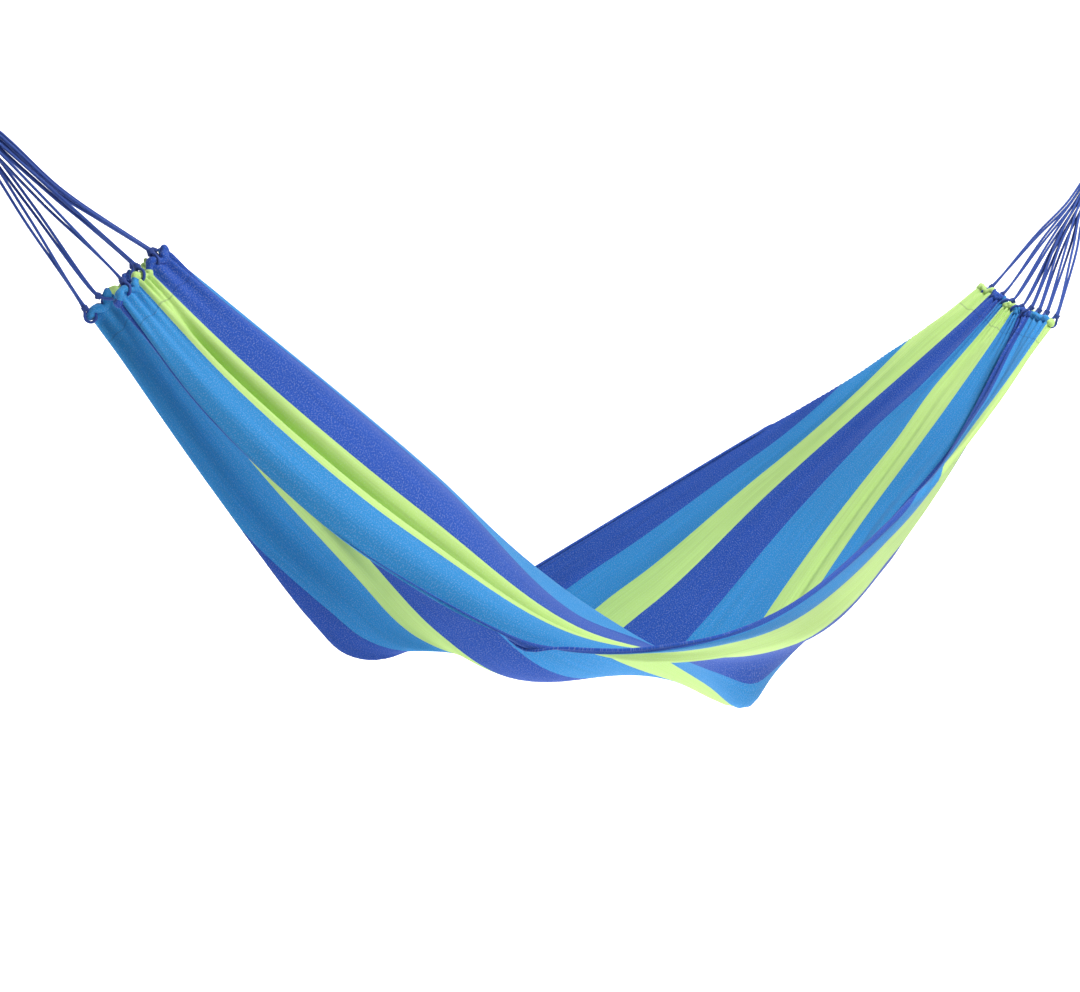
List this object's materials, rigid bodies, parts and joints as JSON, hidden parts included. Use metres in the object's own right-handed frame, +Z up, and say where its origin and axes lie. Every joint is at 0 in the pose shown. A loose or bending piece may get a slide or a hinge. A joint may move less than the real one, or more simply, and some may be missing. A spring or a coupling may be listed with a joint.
{
  "type": "hammock",
  "caption": "Striped canvas hammock with gathered ends, hung by doubled cords that meet in a bound eye on a steel ring at each end.",
  "frame": {"origin": "the point where a hook carries the left ring", "axes": "+X from the left hang point to the right one, +Y away from the viewer, +Z up"},
  "size_m": [2.0661, 0.5733, 0.978],
  "materials": {
    "bed_canvas": "woven cotton canvas in lengthwise stripes of royal blue, light blue and lime green",
    "hem_canvas": "the same canvas, rolled and stitched",
    "suspension_cord": "braided cotton and polyester cord, matt",
    "hem_cord": "natural cotton cord",
    "steel": "smooth welded stainless steel"
  },
  "bodies": {
    "hang_rings": {"left_ring": "steel", "right_ring": "steel"},
    "hammock": {"bed_fabric": "bed_canvas", "left_eye": "suspension_cord", "left_whipping": "suspension_cord", "left_end_hem": "hem_canvas", "left_hem_cord": "hem_cord", "left_cord_1": "suspension_cord", "left_cord_2": "suspension_cord", "left_cord_3": "suspension_cord", "left_cord_4": "suspension_cord", "left_cord_5": "suspension_cord", "left_cord_6": "suspension_cord", "left_cord_7": "suspension_cord", "left_cord_8": "suspension_cord", "right_eye": "suspension_cord", "right_whipping": "suspension_cord", "right_end_hem": "hem_canvas", "right_hem_cord": "hem_cord", "right_cord_1": "suspension_cord", "right_cord_2": "suspension_cord", "right_cord_3": "suspension_cord", "right_cord_4": "suspension_cord", "right_cord_5": "suspension_cord", "right_cord_6": "suspension_cord", "right_cord_7": "suspension_cord", "right_cord_8": "suspension_cord"}
  },
  "joints": [
    {"name": "sway", "type": "hinge", "parent": "hang_rings", "child": "hammock", "pos_m": [0.0277, 0, -0.0303], "axis": [1, 0, -0.0015], "range_deg": [-35, 35]}
  ]
}
